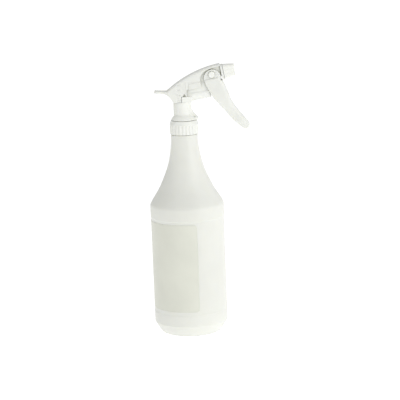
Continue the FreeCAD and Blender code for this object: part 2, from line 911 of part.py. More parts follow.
def shroud_side():
    """The shroud seen from the side, drawn clockwise from its rear foot."""
    rear, middle, front = arch_arc(0.0)
    tip = at(spur_tip_x + spur_bead_radius, spur_top + spur_tip_lift)
    skirt_rear = in_point(skirt_front - pivot_reach, skirt_low_z)
    step = shoulder_block_top + roof_gap
    corners = [
        front,
        in_point(plate_rear - roof_front_gap, skirt_low_z),
        at(skirt_front, skirt_rear.z),
        at(skirt_front, step),
        at(skirt_gap_front, step),
        at(skirt_gap_top, step + skirt_gap_rise),
        at(skirt_gap_rear, step),
        at(skirt_notch_x, step),
        at(skirt_notch_x, shroud_bottom),
        at(shroud_rear, shroud_bottom),
    ]
    under = spur_underside()
    top = [line(under.Vertexes[-1].Point, tip), line(tip, rear), arc(rear, middle, front)]
    return [under] + top + [line(a, b) for a, b in zip(corners, corners[1:])]


def side_pockets():
    """The column of shallow recesses low on each side of the shroud."""
    pockets = []
    inner = shroud_half_width - window_depth
    for step in range(window_count):
        z = shroud_bottom + window_lift + step * window_pitch
        pocket = block(window_x - window_width / 2, window_x + window_width / 2,
                       shroud_half_width + 1, z - window_height / 2, z + window_height / 2)
        pockets.append(pocket.cut(block(-20, 20, inner, shroud_bottom, z + window_height)))
    return pockets


def shroud():
    solid = slab(shroud_side(), shroud_half_width)
    solid = solid.makeFillet(shroud_edge, roof_edges(solid))
    solid = solid.cut(spur_sides())
    bead = across(spur_bead_radius, spur_half_width - spur_bead_inset, spur_tip_x + spur_bead_radius,
                  spur_top + spur_tip_lift - spur_thickness / 2)
    solid = solid.fuse([bead, in_head(skirt_bands())])
    solid = solid.cut(shroud_hollow())
    solid = solid.cut(in_head(ear_opening()))
    solid = solid.cut(side_pockets())
    rib_low = shoulder_block_top + roof_gap
    rib = block(skirt_front - edge_rib_width, skirt_front, shroud_half_width + edge_rib_height,
                rib_low, rib_low + edge_rib_length)
    inside = block(-20, 20, shroud_half_width - shroud_wall, rib_low - 1, rib_low + edge_rib_length + 1)
    return solid.fuse(rib.cut(inside))


def in_point(x, z):
    """A point of the head's own frame, in the bottle's frame."""
    c = math.cos(math.radians(spray_tilt))
    s = math.sin(math.radians(spray_tilt))
    return at(pivot.x + x * c - z * s, pivot.z + x * s + z * c)


def roof_edges(solid):
    """The two long edges of the shroud's roof."""
    found = []
    for edge in solid.Edges:
        point = edge.valueAt((edge.FirstParameter + edge.LastParameter) / 2)
        on_side = abs(abs(point.y) - shroud_half_width) < 0.01
        if on_side and edge.Length > pivot_reach and edge.BoundBox.ZMax > pivot.z + plate_top:
            found.append(edge)
    return found


def skirt_bands():
    """The raised band along each side's lower edge, in the head's own frame."""
    low = skirt_low_z
    side = slab(polygon([
        at(skirt_band_front, skirt_edge_z),
        at(skirt_band_front, low),
        at(skirt_front - pivot_reach, low),
        at(skirt_front - pivot_reach + 2 * skirt_band, skirt_edge_z),
    ]), shroud_half_width + skirt_band)
    return side.cut(block(-2 * pivot_reach, pivot_reach, shroud_half_width - shroud_wall, 2 * low, 0))


def spur_sides():
    """What is taken off beside the spur, which is narrower than the roof."""
    wide = shroud_half_width + 1
    narrow = spur_half_width - spur_tip_round
    rear = spur_tip_x - spur_flare
    cuts = []
    for side in (-1, 1):
        outline = polygon([
            Vector(rear, side * wide, 0),
            Vector(spur_root_x + spur_flare / 2, side * wide, 0),
            Vector(spur_root_x + spur_flare / 2, side * shroud_half_width, 0),
            Vector(spur_root_x - spur_flare, side * spur_half_width, 0),
            Vector(spur_tip_x + spur_tip_round, side * spur_half_width, 0),
            Vector(spur_tip_x, side * narrow, 0),
            Vector(rear, side * narrow, 0),
        ])
        wedge = Part.Face(Part.Wire(outline)).extrude(Vector(0, 0, spur_cut_depth + spur_flare))
        wedge.translate(Vector(0, 0, spur_top - spur_cut_depth))
        cuts.append(wedge)
    return cuts


def shroud_hollow():
    rear, middle, front = arch_arc(shroud_roof)
    top_rear = rear + Vector(hollow_setback, 0, hollow_lift)
    start = nearest_on_arc(rear, middle, front, top_rear)
    front_low = at(front.x + 1, sprayer_neck_top - 1)
    hollow_rear = shroud_rear + shroud_wall + roof_gap
    edges = [
        arc(start, middle, front),
        line(front, at(front_low.x, front.z)),
        line(at(front_low.x, front.z), front_low),
        line(front_low, at(hollow_rear, front_low.z)),
        line(at(hollow_rear, front_low.z), start),
    ]
    return slab(edges, shroud_half_width - shroud_wall)


def above_roof_lining():
    """Everything above the shroud's roof lining, which the body inside stays under."""
    rear, middle, front = arch_arc(shroud_roof + roof_gap)
    top = core_top + pivot_reach
    edges = [
        arc(rear, middle, front),
        line(front, at(front.x, top)),
        line(at(front.x, top), at(rear.x, top)),
        line(at(rear.x, top), rear),
    ]
    return slab(edges, core_radius + 1)


def nearest_on_arc(a, middle, b, point):
    curve = Part.Circle(a, middle, b)
    return curve.value(curve.parameter(point))


def ear_opening():
    """The opening in each side of the shroud that the trigger's ears stand and swing in."""
    edge = [
        at(skirt_band_front, skirt_edge_z),
        at(-13.6, -1.4),
        at(-12.0, 1.6),
        at(-10.0, 3.6),
        at(-6.8, 5.4),
        at(-1.9, 6.8),
        at(4.9, 7.5),
        at(plate_rear + 1.0, 7.7),
    ]
    low = 2 * skirt_low_z
    edges = [
        spline(edge),
        line(edge[-1], at(edge[-1].x, low)),
        line(at(edge[-1].x, low), at(skirt_band_front, low)),
        line(at(skirt_band_front, low), edge[0]),
    ]
    return slab(edges, shroud_half_width + 2)


# ---------------------------------------------------------------- nozzle

def rounded_square(x, half_y, z0, z1, corner):
    """A closed outline across the spray line, with rounded corners."""
    def p(y, z):
        return Vector(x, y, z)
    k = corner * (1 - math.cos(math.radians(45)))
    y0, y1 = -half_y, half_y
    return Part.Wire([
        line(p(y0 + corner, z0), p(y1 - corner, z0)),
        arc(p(y1 - corner, z0), p(y1 - k, z0 + k), p(y1, z0 + corner)),
        line(p(y1, z0 + corner), p(y1, z1 - corner)),
        arc(p(y1, z1 - corner), p(y1 - k, z1 - k), p(y1 - corner, z1)),
        line(p(y1 - corner, z1), p(y0 + corner, z1)),
        arc(p(y0 + corner, z1), p(y0 + k, z1 - k), p(y0, z1 - corner)),
        line(p(y0, z1 - corner), p(y0, z0 + corner)),
        arc(p(y0, z0 + corner), p(y0 + k, z0 + k), p(y0 + corner, z0)),
    ])


def nozzle_base():
    outline = rounded_square(plate_rear, plate_half_width, plate_bottom, plate_top, plate_corner)
    plate = Part.Face(outline).extrude(Vector(plate_thickness, 0, 0))
    rear = along(rear_spigot_radius, rear_spigot_end, plate_rear + 0.1, spray_line_z)
    front = along(nozzle_spigot_radius, plate_front - 0.1, nozzle_spigot_front, spray_line_z)
    seat = nozzle_spigot_front - spinner_length
    return plate.fuse([rear, front]).cut([
        along(nozzle_bore_radius, rear_spigot_end - 1, nozzle_spigot_front, spray_line_z),
        along(spinner_radius, seat, nozzle_spigot_front + 1, spray_line_z)])


def spinner():
    seat = nozzle_spigot_front - spinner_length
    plug = along(spinner_radius, seat, nozzle_spigot_front, spray_line_z)
    grooves = []
    for step in range(spinner_slots):
        angle = 360.0 * step / spinner_slots
        slot = Part.makeBox(spinner_length + 2, slot_width, 2 * slot_depth,
                            Vector(seat - 1, -slot_width / 2, spinner_radius - slot_depth))
        swirl = Part.makeBox(2 * swirl_depth, swirl_width, spinner_radius,
                             Vector(nozzle_spigot_front - swirl_depth, swirl_offset, 0))
        for groove in (slot, swirl):
            groove.rotate(Vector(0, 0, 0), Vector(1, 0, 0), angle)
            groove.translate(Vector(0, 0, spray_line_z))
            grooves.append(groove)
    return plug.cut(grooves)


def nozzle_seal():
    """Flat ring in the nozzle cap, which seals on the base's spigot end."""
    rear = nozzle_inner_front - seal_thickness
    ring = along(nozzle_spigot_radius + nozzle_gap, rear, nozzle_inner_front, spray_line_z)
    return ring.cut(along(spinner_radius - slot_depth, rear - 1, nozzle_front, spray_line_z))


def nozzle_cap():
    wires = []
    for x, half in ((nozzle_rear, nozzle_rear_half), (nozzle_front, nozzle_front_half)):
        wires.append(rounded_square(x, half, spray_line_z - half, spray_line_z + half, half * nozzle_corner))
    solid = Part.makeLoft(wires, True, True)
    rims = [e for e in solid.Edges if e.BoundBox.XMin > nozzle_front - 0.01]
    solid = solid.makeFillet(nozzle_rim, rims)
    inner = nozzle_spigot_radius + nozzle_gap
    dish = Part.makeCone(nozzle_dish_root, nozzle_dish_radius, nozzle_dish_depth,
                         Vector(nozzle_front - nozzle_dish_depth, 0, spray_line_z), Vector(1, 0, 0))
    solid = solid.cut([
        along(inner, nozzle_rear - 1, nozzle_inner_front, spray_line_z),
        along(orifice_radius, nozzle_rear, nozzle_front, spray_line_z),
        dish])
    return solid.cut(flutes())


def flutes():
    """Grip grooves on the nozzle cap's four sides, each parallel to its side."""
    lean = math.degrees(math.atan((nozzle_rear_half - nozzle_front_half) / nozzle_length))
    reach = nozzle_rear_half + flute_radius - flute_sink
    grooves = []
    for side in range(4):
        for row in range(flutes_per_side):
            groove = along(flute_radius, 0, nozzle_length + 3)
            groove.rotate(Vector(0, 0, 0), Vector(0, 1, 0), lean)
            offset = (row - (flutes_per_side - 1) / 2) * flute_spread
            groove.translate(Vector(nozzle_rear + flute_start, offset, reach))
            groove.rotate(Vector(0, 0, 0), Vector(1, 0, 0), 90 * side)
            groove.translate(Vector(0, 0, spray_line_z))
            grooves.append(groove)
    return grooves


def outlet_ball():
    return Part.makeSphere(outlet_ball_radius, Vector(outlet_ball_x, 0, spray_line_z))


def outlet_spring():
    length = rear_spigot_end - outlet_spring_rear - 2 * spring_end_gap
    spring = coil(outlet_spring_radius, outlet_spring_wire, outlet_spring_turns, length)
    return lying(spring, outlet_spring_rear + spring_end_gap, spray_line_z)


upright_parts = {
    "bottle": bottle,
    "label": label,
    "closure": closure,
    "neck_gasket": neck_gasket,
    "sprayer_body": sprayer_body,
    "tube_retainer": tube_retainer,
    "dip_tube": dip_tube,
    "intake_ball": intake_ball,
    "shroud": shroud,
}
head_parts = {
    "rod_guide": rod_guide,
    "piston_rod": piston_rod,
    "piston_cup": piston_cup,
    "return_spring": return_spring,
    "trigger": trigger,
    "nozzle_base": nozzle_base,
    "spinner": spinner,
    "nozzle_seal": nozzle_seal,
    "nozzle_cap": nozzle_cap,
    "outlet_ball": outlet_ball,
    "outlet_spring": outlet_spring,
}


def write(name, shape):
    shape.exportStep("parts/" + name + ".step")
    print("%-14s solids %d  valid %s  volume %9.1f" % (
        name, len(shape.Solids), shape.isValid(), shape.Volume))


os.makedirs("parts", exist_ok=True)
for name, make in upright_parts.items():
    write(name, make())
for name, make in head_parts.items():
    write(name, in_head(make()))
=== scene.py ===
# Trigger spray bottle: finished pieces, materials, floor, light and camera.

import json
import math

import bmesh
import bpy
from mathutils import Matrix, Vector

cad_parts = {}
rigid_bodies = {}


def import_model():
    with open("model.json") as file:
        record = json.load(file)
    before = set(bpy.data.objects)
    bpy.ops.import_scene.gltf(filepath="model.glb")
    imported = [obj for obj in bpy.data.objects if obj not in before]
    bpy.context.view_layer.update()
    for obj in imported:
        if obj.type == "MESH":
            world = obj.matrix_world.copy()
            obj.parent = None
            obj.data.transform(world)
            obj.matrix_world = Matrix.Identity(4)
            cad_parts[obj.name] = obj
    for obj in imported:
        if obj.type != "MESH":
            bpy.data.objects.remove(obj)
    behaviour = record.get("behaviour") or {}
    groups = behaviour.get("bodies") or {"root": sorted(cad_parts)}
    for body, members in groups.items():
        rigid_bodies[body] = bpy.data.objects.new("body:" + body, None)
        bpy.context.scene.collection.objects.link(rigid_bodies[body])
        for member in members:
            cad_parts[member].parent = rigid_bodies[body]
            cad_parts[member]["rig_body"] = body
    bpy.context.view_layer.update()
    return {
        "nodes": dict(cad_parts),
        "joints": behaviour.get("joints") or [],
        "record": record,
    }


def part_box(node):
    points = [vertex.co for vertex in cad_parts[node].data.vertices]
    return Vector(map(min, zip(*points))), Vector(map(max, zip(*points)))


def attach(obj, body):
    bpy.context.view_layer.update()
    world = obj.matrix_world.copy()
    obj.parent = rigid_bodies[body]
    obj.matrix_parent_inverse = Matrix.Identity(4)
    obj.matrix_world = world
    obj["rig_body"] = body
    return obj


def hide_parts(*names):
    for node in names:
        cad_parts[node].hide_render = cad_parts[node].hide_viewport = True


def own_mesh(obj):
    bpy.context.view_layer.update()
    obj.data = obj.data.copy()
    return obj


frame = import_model()
nodes = frame["nodes"]
joints = {joint["name"]: joint for joint in frame["joints"]}

MM = 0.001

# ---- sizes, mm, with the values that the solids have ----
body_wall = 1.1
panel_recess = 0.55
foot_band_recess = 0.25
panel_bottom = 27.0
panel_top = 137.5
panel_step = 1.6
heel_height = 13.4
heel_width = 8.0
heel_bulge = 0.5
ring_width = 3.0
pushup_height = 4.0
pushup_radius = 23.0
shoulder_start = 150.0
neck_height = 12.2
neck_radius = 12.6
neck_wall = 1.6
neck_root_radius = 15.8
thread_pitch = 4.233
thread_turns = 1.25
thread_depth = 1.1
thread_root = 1.9
thread_crest = 1.0
thread_drop = 7.9
label_thickness = 0.25
closure_bore_radius = 14.05
closure_taper = 1.5
closure_band_height = 11.1
closure_roof = 1.6
closure_hole_radius = 12.0
groove_count = 24
groove_radius = 1.05
groove_depth = 0.8
return_spring_wire = 0.45
return_spring_turns = 6.0
outlet_spring_wire = 0.26
outlet_spring_turns = 3.0

# ---- roundings and small details of the finished pieces, mm ----
edge_round = 0.45
label_corner = 4.0
pushup_round = 4.0
ring_inner_round = 1.6
ring_outer_round = 1.2
heel_round = 0.8
panel_round = 1.2
neck_root_round = 0.6
rim_round = 0.5
bead_rise = 0.9
bead_reach = 0.7
bead_half_root = 0.6
bead_half_crest = 0.3
bead_round = 0.2
ridge_sink = 0.3
thread_gap = 0.35
label_backing = 0.02
closure_mouth_round = 0.35
closure_shoulder_round = 1.1
closure_top_round = 0.7
closure_inner_round = 0.3
closure_roof_round = 0.5
groove_lip = 0.12
groove_lip_reach = 0.22

# ---- how finely round pieces are divided ----
bottle_segments = 192
bead_segments = 144
thread_segments = 96
label_columns = 160
label_rows = 40
groove_columns = 22
closure_division = 0.45

# ---- finished mouldings: name, node, net size in mm, passes of smoothing ----
mouldings = [
    ("sprayer_moulding", "sprayer_body", 0.36, 4),
    ("shroud_moulding", "shroud", 0.32, 3),
    ("trigger_moulding", "trigger", 0.36, 4),
    ("nozzle_moulding", "nozzle_cap", 0.18, 2),
    ("nozzle_base_moulding", "nozzle_base", 0.24, 4),
    ("piston_rod_moulding", "piston_rod", 0.16, 4),
    ("rod_guide_moulding", "rod_guide", 0.16, 3),
    ("piston_cup_moulding", "piston_cup", 0.14, 3),
]

# ---- floor, light and camera: metres, watts and degrees ----
floor_reach = 9.0
floor_glow = 0.84
light_aim = (0.0, 0.0, 0.16)
key_place = (1.5, -1.3, 0.75)
key_power = 9.5
key_size = 1.4
fill_place = (-1.8, -0.9, 0.6)
fill_power = 4.2
fill_size = 1.6
sky_low = 0.56
sky_high = 0.84
sky_top = 0.85
sky_strength = 0.95
sky_side_gain = 0.35
camera_lens = 151.3
camera_sensor = 36.0
camera_distance = 1.936
camera_height = 0.550
camera_azimuth = 2.0
camera_pitch = 11.51
camera_pan = 0.455
camera_roll = -2.17


# ================================================================ shader maths

class Field:
    """A value that varies over a surface; arithmetic on it adds the nodes it needs."""

    def __init__(self, paint, node, socket=0):
        self.paint = paint
        self.node = node
        self.socket = node.outputs[socket]

    def maths(self, kind, *values):
        return self.paint.add("ShaderNodeMath", {"operation": kind}, *values)

    def output(self, name):
        return Field(self.paint, self.node, name)

    def __add__(self, other):
        return self.maths("ADD", self, other)

    def __radd__(self, other):
        return self.maths("ADD", other, self)

    def __rsub__(self, other):
        return self.maths("SUBTRACT", other, self)

    def __mul__(self, other):
        return self.maths("MULTIPLY", self, other)

    def __abs__(self):
        return self.maths("ABSOLUTE", self)

    def smooth(self, low, high):
        """0 below low, 1 above high and a soft step between them."""
        settings = {"interpolation_type": "SMOOTHSTEP", "clamp": True}
        return self.paint.add("ShaderNodeMapRange", settings, self, low, high, 0.0, 1.0)


class Paint:
    """One material and the nodes in it."""

    def __init__(self, name):
        self.material = bpy.data.materials.new(name)
        self.material.use_nodes = True
        self.tree = self.material.node_tree
        self.tree.nodes.clear()
        self.shader = self.tree.nodes.new("ShaderNodeBsdfPrincipled")
        end = self.tree.nodes.new("ShaderNodeOutputMaterial")
        self.tree.links.new(self.shader.outputs[0], end.inputs[0])
        self.place = self.add("ShaderNodeTexCoord", {}).output("Object")

    def add(self, kind, settings, *values, **named):
        """A node with its settings, and its inputs given in order or by name."""
        node = self.tree.nodes.new(kind)
        for key, value in settings.items():
            setattr(node, key, value)
        for key, value in list(enumerate(values)) + list(named.items()):
            if isinstance(value, Field):
                self.tree.links.new(value.socket, node.inputs[key])
            elif value is not None:
                node.inputs[key].default_value = value
        return Field(self, node)

    def stretched(self, x, y, z):
        settings = {"vector_type": "POINT"}
        node = self.add("ShaderNodeMapping", settings, self.place)
        node.node.inputs["Scale"].default_value = (x, y, z)
        return node

    def noise(self, scale, detail=2.0, rough=0.5, stretch=(1.0, 1.0, 1.0)):
        where = self.stretched(*stretch)
        return self.add("ShaderNodeTexNoise", {}, where, Scale=scale, Detail=detail, Roughness=rough)

    def axis(self, name):
        return self.add("ShaderNodeSeparateXYZ", {}, self.place).output(name)

    def mix(self, amount, first, second):
        """Mix two colours, each a plain colour or a field."""
        node = self.add("ShaderNodeMix", {"data_type": "RGBA", "blend_type": "MIX"})
        ends = {"Factor_Float": amount, "A_Color": first, "B_Color": second}
        for key, value in ends.items():
            socket = next(s for s in node.node.inputs if s.identifier == key)
            if isinstance(value, Field):
                self.tree.links.new(value.socket, socket)
            else:
                socket.default_value = value
        found = next(s for s in node.node.outputs if s.identifier == "Result_Color")
        node.socket = found
        return node

    def crevice(self, reach):
        """1 on open surfaces and less deep in grooves and joints."""
        node = self.add("ShaderNodeAmbientOcclusion", {"samples": 8, "only_local": False})
        node.node.inputs["Distance"].default_value = reach
        return node.output("AO")

    def set(self, **inputs):
        for key, value in inputs.items():
            socket = self.shader.inputs[key.replace("_", " ")]
            if isinstance(value, Field):
                self.tree.links.new(value.socket, socket)
            else:
                socket.default_value = value

    def bumps(self, *layers):
        """Chain relief layers, each (height field, depth in metres)."""
        normal = None
        for height, depth in layers:
            normal = self.add("ShaderNodeBump", {}, Distance=depth, Height=height, Normal=normal)
        self.set(Normal=normal)


def colour(red, green, blue):
    return (red, green, blue, 1.0)


def tinted(base, gain):
    return colour(*(min(1.0, part * gain) for part in base[:3]))


def moulded_plastic(name, base, roughness, scatter, crevice_shade=0.22, onset=0.25, reach=0.0035, wave=0.0):
    """Pale moulded plastic: cloudy colour, moulded grain, rubbed patches and painted shade darkening the
    corners and joints.
    """
    paint = Paint(name)
    cloud = paint.noise(38.0, 3.0, 0.55)
    streak = paint.noise(90.0, 2.0, 0.5, (1.0, 1.0, 0.12))
    speck = paint.noise(900.0, 1.0, 0.4)
    body = paint.mix(cloud.smooth(0.3, 0.7), tinted(base, 0.975), tinted(base, 1.02))
    body = paint.mix(streak.smooth(0.45, 0.8) * 0.05, body, tinted(base, 0.86))
    body = paint.mix(speck.smooth(0.70, 0.80) * 0.25, body, tinted(base, 0.90))
    # Painted shade: deep in grooves, corners and joints the colour is pulled towards a dark yellowish shade
    # tone.
    open_share = paint.crevice(reach)
    shade_tone = colour(base[0] * 0.36, base[1] * 0.355, base[2] * 0.24)
    body = paint.mix((1.0 - open_share).smooth(onset, onset + 0.6) * crevice_shade, body, shade_tone)
    rubbed = paint.noise(55.0, 4.0, 0.6).smooth(0.42, 0.68)
    smear = paint.noise(260.0, 2.0, 0.5, (1.0, 0.25, 1.0)).smooth(0.5, 0.8)
    paint.set(
        Base_Color=body,
        Roughness=roughness + rubbed * 0.07 + smear * 0.05 + (1.0 - open_share) * 0.12,
        Subsurface_Weight=scatter,
        Subsurface_Radius=(1.0, 0.95, 0.8),
        Subsurface_Scale=0.0025,
        IOR=1.49,
    )
    hairline = paint.noise(520.0, 1.0, 0.4, (0.06, 1.0, 1.0)).smooth(0.66, 0.74)
    layers = [
        (paint.noise(2600.0, 1.0, 0.4), 0.00002),
        (paint.noise(24.0, 2.0, 0.4), wave),
        (hairline, -0.000012),
    ]
    paint.bumps(*[layer for layer in layers if layer[1]])
    return paint


def bottle_plastic():
    """Blow-moulded milky polyethylene, with a faint parting line and a rippled wall."""
    base = colour(0.785, 0.793, 0.738)
    paint = Paint("milky polyethylene")
    cloud = paint.noise(18.0, 4.0, 0.55)
    streak = paint.noise(70.0, 3.0, 0.55, (1.0, 1.0, 0.08))
    body = paint.mix(cloud.smooth(0.3, 0.7), tinted(base, 0.965), tinted(base, 1.01))
    body = paint.mix(streak.smooth(0.4, 0.75) * 0.10, body, tinted(base, 0.88))
    height = paint.axis("Z")
    thick_base = 1.0 - height.smooth(0.0, 0.035)
    body = paint.mix(thick_base * 0.25, body, tinted(base, 1.08))
    # Painted shade: the colour is darkened in grooves, corners and joints, where shade falls.
    open_share = paint.crevice(0.004)
    body = paint.mix((1.0 - open_share).smooth(0.3, 0.95) * 0.2, body, tinted(base, 0.45))
    side = abs(paint.axis("Y"))
    seam = 1.0 - side.smooth(0.0001, 0.0004)
    rubbed = paint.noise(46.0, 4.0, 0.6).smooth(0.4, 0.7)
    scuffed = paint.noise(310.0, 2.0, 0.5, (1.0, 1.0, 0.2)).smooth(0.6, 0.8)
    scuffs = scuffed * (1.0 - height.smooth(0.004, 0.022))
    paint.set(
        Base_Color=body,
        Roughness=0.36 + rubbed * 0.08 + scuffs * 0.15,
        Subsurface_Weight=0.3,
        Subsurface_Radius=(1.0, 0.95, 0.75),
        Subsurface_Scale=0.0015,
        IOR=1.51,
    )
    paint.bumps(
        (paint.noise(14.0, 2.0, 0.45), 0.00016),
        (paint.noise(60.0, 2.0, 0.5, (1.0, 1.0, 0.25)), 0.00003),
        (paint.noise(2200.0, 1.0, 0.4), 0.000008),
        (seam, 0.00012),
        (scuffs, -0.00002),
    )
    return paint


def label_film():
    """Blank satin film, a little yellowed, with a brushed varnish and faint wrinkles."""
    base = colour(0.70, 0.71, 0.625)
    paint = Paint("satin label film")
    cloud = paint.noise(26.0, 3.0, 0.5)
    fibre = paint.noise(1500.0, 2.0, 0.6, (1.0, 1.0, 0.2))
    body = paint.mix(cloud.smooth(0.3, 0.7), tinted(base, 0.97), tinted(base, 1.02))
    body = paint.mix(fibre.smooth(0.4, 0.8) * 0.06, body, tinted(base, 0.8))
    low, high = (corner.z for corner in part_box("label"))
    height = paint.axis("Z")
    edge = 1.0 - height.smooth(low, low + 0.002) * (1.0 - height.smooth(high - 0.002, high))
    handled = paint.noise(120.0, 3.0, 0.6).smooth(0.45, 0.75) * edge
    body = paint.mix(handled * 0.3, body, tinted(base, 0.72))
    varnish = paint.noise(70.0, 3.0, 0.5, (1.0, 1.0, 0.4)).smooth(0.35, 0.7)
    paint.set(
        Base_Color=body,
        Roughness=0.40 + varnish * 0.10 + fibre * 0.05,
        Coat_Weight=0.28 + varnish * 0.12,
        Coat_Roughness=0.25,
        IOR=1.48,
    )
    wrinkle = paint.noise(34.0, 3.0, 0.5, (1.0, 1.0, 0.35))
    paint.bumps((wrinkle, 0.00011), (fibre, 0.000006))
    return paint


def drawn_steel(name):
    """Bright drawn wire or ball steel, with fine lines and darker patches."""
    paint = Paint(name)
    lines = paint.noise(4200.0, 2.0, 0.6, (1.0, 0.1, 0.1))
    patch = paint.noise(320.0, 3.0, 0.6)
    body = paint.mix(patch.smooth(0.35, 0.7), colour(0.63, 0.625, 0.61), colour(0.50, 0.49, 0.47))
    body = paint.mix(lines.smooth(0.5, 0.8) * 0.3, body, colour(0.36, 0.35, 0.34))
    paint.set(Base_Color=body, Metallic=1.0, Roughness=0.24 + lines * 0.16 + patch * 0.06)
    paint.bumps((lines, 0.000004), (patch, 0.000008))
    return paint


def foamed_ring():
    """Pale foamed seal: pores, cloudy tone and a dull skin."""
    base = colour(0.72, 0.72, 0.69)
    paint = Paint("foamed seal")
    settings = {"feature": "F1"}
    cells = paint.add("ShaderNodeTexVoronoi", settings, paint.place, Scale=2300.0)
    cloud = paint.noise(210.0, 3.0, 0.5)
    body = paint.mix(cloud.smooth(0.3, 0.7), tinted(base, 0.94), tinted(base, 1.03))
    body = paint.mix((1.0 - cells.smooth(0.0, 0.5)) * 0.3, body, tinted(base, 0.62))
    paint.set(Base_Color=body, Roughness=0.72 + cloud * 0.15, Subsurface_Weight=0.15)
    paint.set(Subsurface_Scale=0.001)
    paint.bumps((cells, 0.00006), (cloud, 0.00004))
    return paint


def tube_plastic():
    """Extruded tube: lengthwise die lines, faint haze."""
    base = colour(0.80, 0.82, 0.81)
    paint = Paint("extruded tube")
    die = paint.noise(1600.0, 2.0, 0.6, (1.0, 1.0, 0.01))
    haze = paint.noise(80.0, 3.0, 0.5, (1.0, 1.0, 0.3))
    body = paint.mix(haze.smooth(0.3, 0.7), tinted(base, 0.96), tinted(base, 1.03))
    body = paint.mix(die.smooth(0.5, 0.8) * 0.15, body, tinted(base, 0.8))
    paint.set(Base_Color=body, Roughness=0.30 + haze * 0.10 + die * 0.05, Subsurface_Weight=0.4)
    paint.set(Subsurface_Scale=0.002)
    paint.bumps((die, 0.000015), (haze, 0.00003))
    return paint


ivory = colour(0.80, 0.81, 0.765)
# Painted light: the gains on ivory make one plastic lighter or darker piece by piece, to match how brightly
# each piece is lit.
paints = {
    "bottle_plastic": bottle_plastic(),
    "label_film": label_film(),
    "closure_plastic": moulded_plastic(
        "closure polypropylene", tinted(ivory, 1.05), 0.33, 0.15, crevice_shade=0.5, onset=0.12, reach=0.003),
    "sprayer_plastic": moulded_plastic(
        "sprayer polypropylene", tinted(ivory, 1.07), 0.34, 0.2, crevice_shade=0.6, onset=0.3, reach=0.006),
    "shroud_plastic": moulded_plastic(
        "shroud polypropylene", ivory, 0.36, 0.2, crevice_shade=0.4, reach=0.005, wave=0.00005),
    "trigger_plastic": moulded_plastic(
        "trigger polypropylene", tinted(ivory, 0.985), 0.34, 0.22, crevice_shade=0.35, reach=0.004, wave=0.00006),
    "nozzle_base_plastic": moulded_plastic("nozzle base polypropylene", ivory, 0.35, 0.2, crevice_shade=0.5),
    "nozzle_plastic": moulded_plastic(
        "nozzle polypropylene", tinted(ivory, 1.05), 0.33, 0.15, crevice_shade=0.6, onset=0.1, reach=0.003),
    "valve_plastic": moulded_plastic("valve polyethylene", colour(0.82, 0.82, 0.79), 0.45, 0.3),
    "seal_plastic": moulded_plastic("soft polyethylene", colour(0.78, 0.79, 0.76), 0.5, 0.35),
    "tube_plastic": tube_plastic(),
    "seal_rubber": foamed_ring(),
    "spring_steel": drawn_steel("drawn stainless steel"),
}


# ================================================================ meshes

def body_name(node):
    return nodes[node]["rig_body"]


def slot_name(node):
    for part in frame["record"]["subparts"]:
        if part["node"] == node:
            return part["material_slot"]


def piece(name, mesh, node):
    """Put a finished mesh in the scene in place of a node, and let it move with the node's body."""
    made = bpy.data.objects.new(name, mesh)
    bpy.context.scene.collection.objects.link(made)
    mesh.materials.clear()
    mesh.materials.append(paints[slot_name(node)].material)
    for face in mesh.polygons:
        face.use_smooth = True
    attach(made, body_name(node))
    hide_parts(node)
    return made


def mesh_from(vertices, faces, name):
    mesh = bpy.data.meshes.new(name)
    mesh.from_pydata([Vector(v) * MM for v in vertices], [], faces)
    return cleaned(mesh)


def cleaned(mesh, distance=0.000002):
    """Join what meets and turn every face outward."""
    work = bmesh.new()
    work.from_mesh(mesh)
    bmesh.ops.remove_doubles(work, verts=work.verts, dist=distance)
    bmesh.ops.dissolve_degenerate(work, edges=work.edges, dist=distance / 4)
    bmesh.ops.recalc_face_normals(work, faces=work.faces)
    work.to_mesh(mesh)
    work.free()
    return mesh


def rounded(corners, steps=5):
    """Round the corners of a closed outline; each corner is (across, up, radius)."""
    outline = []
    count = len(corners)
    for index, (x, z, radius) in enumerate(corners):
        here = Vector((x, z))
        before = Vector(corners[index - 1][:2]) - here
        after = Vector(corners[(index + 1) % count][:2]) - here
        if radius <= 0 or before.length < 1e-9 or after.length < 1e-9:
            outline.append((x, z))
            continue
        turn = before.angle(after)
        if turn > math.radians(178):
            outline.append((x, z))
            continue
        reach = min(radius / math.tan(turn / 2), before.length * 0.48, after.length * 0.48)
        start = here + before.normalized() * reach
        end = here + after.normalized() * reach
        for step in range(steps + 1):
            t = step / steps
            point = start * (1 - t) ** 2 + here * 2 * t * (1 - t) + end * t ** 2
            outline.append((point.x, point.y))
    return outline


def swept(points, steps=8):
    """A smooth line through points, as many short pieces."""
    line = []
    ends = [points[0]] + points + [points[-1]]
    for a, b, c, d in zip(ends, ends[1:], ends[2:], ends[3:]):
        for step in range(steps):
            t = step / steps
            line.append(tuple(
                0.5 * (2 * q + (r - p) * t + (2 * p - 5 * q + 4 * r - s) * t ** 2
                       + (3 * q - p - 3 * r + s) * t ** 3)
                for p, q, r, s in zip(a, b, c, d)))
    line.append(points[-1])
    return line


def lathed(outline, segments):
    """Turn a closed outline of (radius, height) about the upright axis."""
    vertices = []
    for step in range(segments):
        angle = 2 * math.pi * step / segments
        c, s = math.cos(angle), math.sin(angle)
        vertices += [(r * c, r * s, z) for r, z in outline]
    rows = len(outline)
    faces = []
    for step in range(segments):
        here, there = step * rows, (step + 1) % segments * rows
        for row in range(rows):
            nxt = (row + 1) % rows
            faces.append((here + row, there + row, there + nxt, here + nxt))
    return vertices, faces


